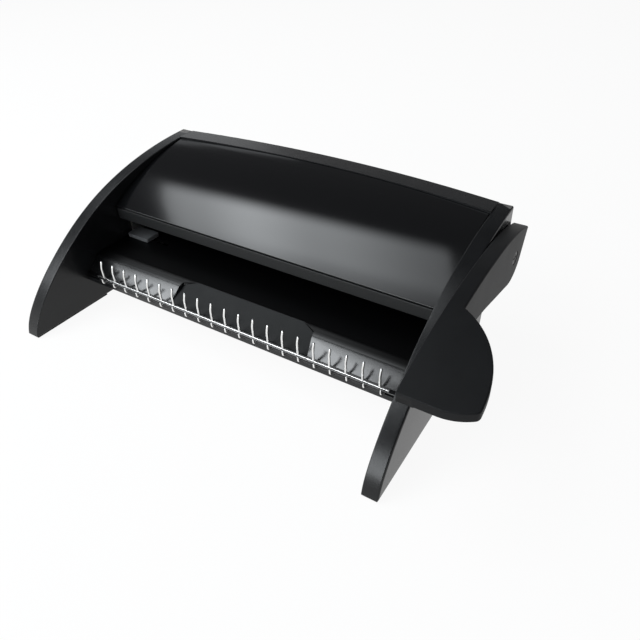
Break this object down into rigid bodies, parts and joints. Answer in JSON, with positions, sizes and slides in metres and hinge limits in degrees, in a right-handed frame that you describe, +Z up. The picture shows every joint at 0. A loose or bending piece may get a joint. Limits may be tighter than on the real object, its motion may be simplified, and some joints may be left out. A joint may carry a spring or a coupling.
{
  "type": "comb binding machine",
  "caption": "Desktop punch and comb binding machine: curved side panels, glossy cover over the paper throat, row of upright comb pins, and a side lever with a palm pad.",
  "frame": {"origin": "middle of the whole machine's footprint, on the desk", "axes": "+X to the right along the pins, +Y to the back, +Z up"},
  "size_m": [0.4054, 0.241, 0.116],
  "materials": {
    "matte_black": "fine moulded texture, matte",
    "gloss_black": "polished gloss",
    "satin_grey": "satin moulded",
    "dark_deck": "smooth satin",
    "bright_steel": "bright nickel plate",
    "painted_steel": "black paint",
    "machined_steel": "ground",
    "plated_steel": "zinc plate",
    "bush_bronze": "sintered",
    "guide_grey": "satin moulded",
    "wedge_nylon": "natural nylon",
    "pad_rubber": "soft matte"
  },
  "bodies": {
    "frame": {"left_side_panel": "matte_black", "right_side_panel": "matte_black", "rear_beam": "matte_black", "rear_panel": "matte_black", "bottom_cover": "matte_black", "top_cover": "gloss_black", "comb_apron": "gloss_black", "cover_fascia": "satin_grey", "scoop_panel": "satin_grey", "paper_table": "dark_deck", "throat_guide": "dark_deck", "pins": "bright_steel", "pin_rail": "bright_steel", "die_plate": "machined_steel", "punch_guide": "machined_steel", "back_stop": "machined_steel", "left_chassis_plate": "plated_steel", "right_chassis_plate": "plated_steel", "chassis_screws": "plated_steel", "die_screws": "plated_steel", "return_springs": "plated_steel", "left_bush": "bush_bronze", "right_bush": "bush_bronze", "foot_pads": "pad_rubber"},
    "lever": {"lever_handle": "matte_black", "lever_screw": "painted_steel", "drive_shaft": "machined_steel", "left_rocker": "machined_steel", "right_rocker": "machined_steel", "shaft_clip": "machined_steel"},
    "punch": {"punch_bar": "machined_steel", "punches": "machined_steel", "cam_post": "machined_steel"},
    "rack": {"hook_rack": "painted_steel", "hooks": "bright_steel", "rack_wedge": "wedge_nylon"},
    "guide": {"edge_guide": "guide_grey", "guide_clip": "guide_grey"},
    "tray": {"chip_tray": "matte_black", "tray_face": "matte_black"}
  },
  "joints": [
    {"name": "lever_hinge", "type": "hinge", "parent": "frame", "child": "lever", "pos_m": [-0.02525, 0.0855, 0.082], "axis": [1, 0, 0], "range_deg": [0, 16], "stiffness_Nm_per_rad": 1.5, "springref_deg": -22.92},
    {"name": "punch_slide", "type": "slide", "parent": "frame", "child": "punch", "axis": [0, 0, -1], "range_m": [0, 0.01201], "deforming": ["return_springs"]},
    {"name": "hook_slide", "type": "slide", "parent": "frame", "child": "rack", "axis": [-1, 0, 0], "range_m": [0, 0.008]},
    {"name": "guide_slide", "type": "slide", "parent": "frame", "child": "guide", "axis": [1, 0, 0], "range_m": [0, 0.03]},
    {"name": "tray_slide", "type": "slide", "parent": "frame", "child": "tray", "axis": [0, 1, 0], "range_m": [0, 0.07]}
  ],
  "couplings": [
    {"joint": "punch_slide", "follows": "lever_hinge", "m_per_rad": 0.043},
    {"joint": "hook_slide", "follows": "lever_hinge", "m_per_rad": 0.028647}
  ]
}
